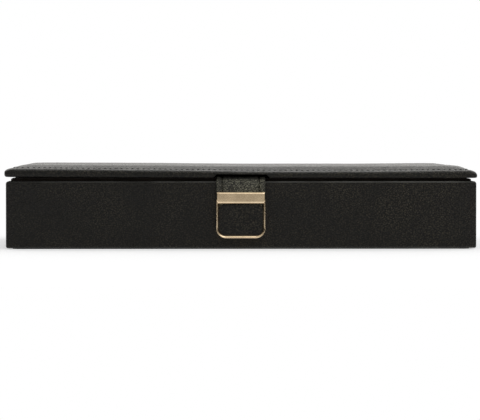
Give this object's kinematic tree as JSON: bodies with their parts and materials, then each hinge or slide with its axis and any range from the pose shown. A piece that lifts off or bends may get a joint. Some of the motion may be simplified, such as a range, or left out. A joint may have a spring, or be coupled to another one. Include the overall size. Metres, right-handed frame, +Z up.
{
  "type": "cufflink box with drawer",
  "caption": "Low leather-covered box with a padded hinged lid, a framed strap clasp, a grid of compartments and a drawer in one end.",
  "frame": {"origin": "under the middle of the base, on the surface the box stands on", "axes": "+X towards the drawer end, -Y towards the clasp, +Z up"},
  "size_m": [0.3018, 0.2093, 0.0524],
  "materials": {
    "black_leather": "fine-grained satin",
    "strap_leather": "soft-grained satin",
    "suede_lining": "brushed nap",
    "base_felt": "matt felt",
    "slide_tape": "smooth woven",
    "case_board": "raw fibreboard",
    "drawer_board": "paper-covered",
    "padding": "soft open foam",
    "pale_gold": "polished, pale gold plated",
    "steel": "plain",
    "magnet_plate": "pale gold plated"
  },
  "bodies": {
    "case": {"leather_wrap": "black_leather", "base_felt": "base_felt", "base_infill": "case_board", "base_board": "case_board", "front_wall": "case_board", "back_wall": "case_board", "left_wall": "case_board", "end_rail": "case_board", "front_guide": "case_board", "back_guide": "case_board", "rear_stop": "case_board", "slide_strips": "slide_tape", "shelf": "case_board", "striker_plate": "steel", "front_liner": "suede_lining", "right_liner": "suede_lining", "back_liner": "suede_lining", "left_liner": "suede_lining", "tray_pad": "suede_lining", "long_divider_1": "suede_lining", "long_divider_2": "suede_lining", "long_divider_3": "suede_lining", "cross_divider_1": "suede_lining", "cross_divider_2": "suede_lining", "cross_divider_3": "suede_lining", "cross_divider_4": "suede_lining", "cross_divider_5": "suede_lining", "left_case_leaf": "pale_gold", "right_case_leaf": "pale_gold", "left_hinge_pin": "pale_gold", "right_hinge_pin": "pale_gold", "case_hinge_nails": "pale_gold"},
    "lid": {"lid_board": "case_board", "lid_foam": "padding", "lid_cover": "black_leather", "lid_panel": "suede_lining", "left_lid_leaf": "pale_gold", "right_lid_leaf": "pale_gold", "lid_hinge_nails": "pale_gold", "strap_root": "strap_leather", "strap_bend": "strap_leather"},
    "clasp": {"strap_tongue": "strap_leather", "clasp_frame": "pale_gold", "clasp_inlay": "strap_leather", "clasp_magnet": "magnet_plate"},
    "drawer": {"drawer_front": "case_board", "drawer_face": "black_leather", "drawer_bottom": "drawer_board", "drawer_front_side": "drawer_board", "drawer_back_side": "drawer_board", "drawer_end": "drawer_board", "drawer_lining": "suede_lining", "drawer_front_divider": "suede_lining", "drawer_back_divider": "suede_lining", "pull_root": "strap_leather"},
    "pull": {"pull_tab": "strap_leather"}
  },
  "joints": [
    {"name": "lid_hinge", "type": "hinge", "parent": "case", "child": "lid", "pos_m": [0, 0.1029, 0.0442], "axis": [-1, 0, 0], "range_deg": [0, 100]},
    {"name": "clasp_flap", "type": "hinge", "parent": "lid", "child": "clasp", "pos_m": [0, -0.1014, 0.0432], "axis": [-1, 0, 0], "range_deg": [0, 110], "deforming": ["strap_bend"]},
    {"name": "drawer_slide", "type": "slide", "parent": "case", "child": "drawer", "axis": [1, 0, 0], "range_m": [0, 0.2]},
    {"name": "pull_lift", "type": "hinge", "parent": "drawer", "child": "pull", "pos_m": [0.1493, 0, 0.016], "axis": [0, -1, 0], "range_deg": [0, 90]}
  ]
}
